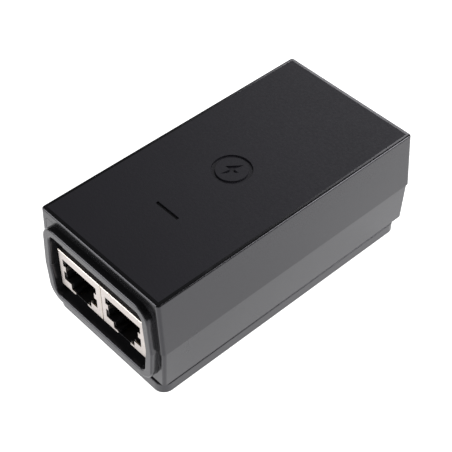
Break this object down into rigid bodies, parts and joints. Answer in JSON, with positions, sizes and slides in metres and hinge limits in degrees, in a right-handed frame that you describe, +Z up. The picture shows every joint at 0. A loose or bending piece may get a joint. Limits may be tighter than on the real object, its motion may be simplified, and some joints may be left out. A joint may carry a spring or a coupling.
{
  "type": "power over ethernet injector",
  "caption": "Two-shell plug-in power brick with side-by-side modular jacks in a rounded collar, a mains inlet behind, and a slide-on wall bracket.",
  "frame": {"origin": "middle of the wall bracket's bottom face, under the middle of the body", "axes": "+X across the width, +Y from the jacks to the mains inlet, +Z up out of the bracket"},
  "size_m": [0.0446, 0.0863, 0.0338],
  "materials": {
    "top_cover": "fine-textured charcoal moulding with a polished edge",
    "bottom_case": "smooth charcoal moulding",
    "front_bezel": "smooth charcoal moulding",
    "light_pipe": "smoked clear moulding",
    "main_board": "green solder mask",
    "insulation_sheet": "pale insulating sheet",
    "status_led": "clear package",
    "jack_shield": "nickel-plated folded sheet",
    "jack_insulator": "black moulding",
    "jack_contact": "gold-plated wire",
    "ac_inlet_body": "black moulding",
    "ac_inlet_pins": "nickel-plated blades",
    "fuse": "brown coated tube",
    "varistor": "blue coating",
    "line_filter_capacitor": "yellow box",
    "line_choke_core": "coated ferrite ring",
    "line_choke_winding": "enamelled copper wire",
    "bridge_rectifier": "black package",
    "bulk_capacitor": "sleeved can",
    "power_switch_ic": "black package",
    "transformer_core": "sintered ferrite",
    "transformer_bobbin": "black moulding",
    "transformer_winding": "taped winding",
    "optocoupler": "white package",
    "safety_capacitor": "blue coating",
    "output_diode": "black package",
    "output_capacitors": "drawn cans",
    "output_choke": "ferrite drum",
    "wall_bracket": "smooth charcoal moulding",
    "bracket_latch": "smooth charcoal moulding"
  },
  "bodies": {
    "bracket": {"wall_bracket": "wall_bracket"},
    "unit": {"top_cover": "top_cover", "bottom_case": "bottom_case", "front_bezel": "front_bezel", "light_pipe": "light_pipe", "main_board": "main_board", "insulation_sheet": "insulation_sheet", "status_led": "status_led", "left_jack_shield": "jack_shield", "right_jack_shield": "jack_shield", "left_jack_insulator": "jack_insulator", "right_jack_insulator": "jack_insulator", "left_jack_tails": "jack_contact", "right_jack_tails": "jack_contact", "ac_inlet_body": "ac_inlet_body", "ac_inlet_pins": "ac_inlet_pins", "fuse": "fuse", "varistor": "varistor", "line_filter_capacitor": "line_filter_capacitor", "line_choke_core": "line_choke_core", "line_choke_winding": "line_choke_winding", "bridge_rectifier": "bridge_rectifier", "bulk_capacitor": "bulk_capacitor", "power_switch_ic": "power_switch_ic", "transformer_core": "transformer_core", "transformer_bobbin": "transformer_bobbin", "transformer_winding": "transformer_winding", "optocoupler": "optocoupler", "safety_capacitor": "safety_capacitor", "output_diode": "output_diode", "output_capacitors": "output_capacitors", "output_choke": "output_choke"},
    "latch": {"bracket_latch": "bracket_latch"},
    "left_contact_arms": {"left_jack_contacts": "jack_contact"},
    "right_contact_arms": {"right_jack_contacts": "jack_contact"}
  },
  "joints": [
    {"name": "unit_slide", "type": "slide", "parent": "bracket", "child": "unit", "axis": [0, 1, 0], "range_m": [0, 0.006]},
    {"name": "latch_flex", "type": "hinge", "parent": "bracket", "child": "latch", "pos_m": [0, 0.022, 0.0024], "axis": [1, 0, 0], "range_deg": [-5, 0]},
    {"name": "left_contact_flex", "type": "hinge", "parent": "unit", "child": "left_contact_arms", "pos_m": [-0.00815, -0.03961, 0.0211], "axis": [1, 0, 0], "range_deg": [0, 12], "stiffness_Nm_per_rad": 0.005},
    {"name": "right_contact_flex", "type": "hinge", "parent": "unit", "child": "right_contact_arms", "pos_m": [0.00815, -0.03961, 0.0211], "axis": [1, 0, 0], "range_deg": [0, 12], "stiffness_Nm_per_rad": 0.005}
  ],
  "couplings": [
    {"joint": "latch_flex", "follows": "unit_slide", "rad_per_m": -13.96}
  ]
}
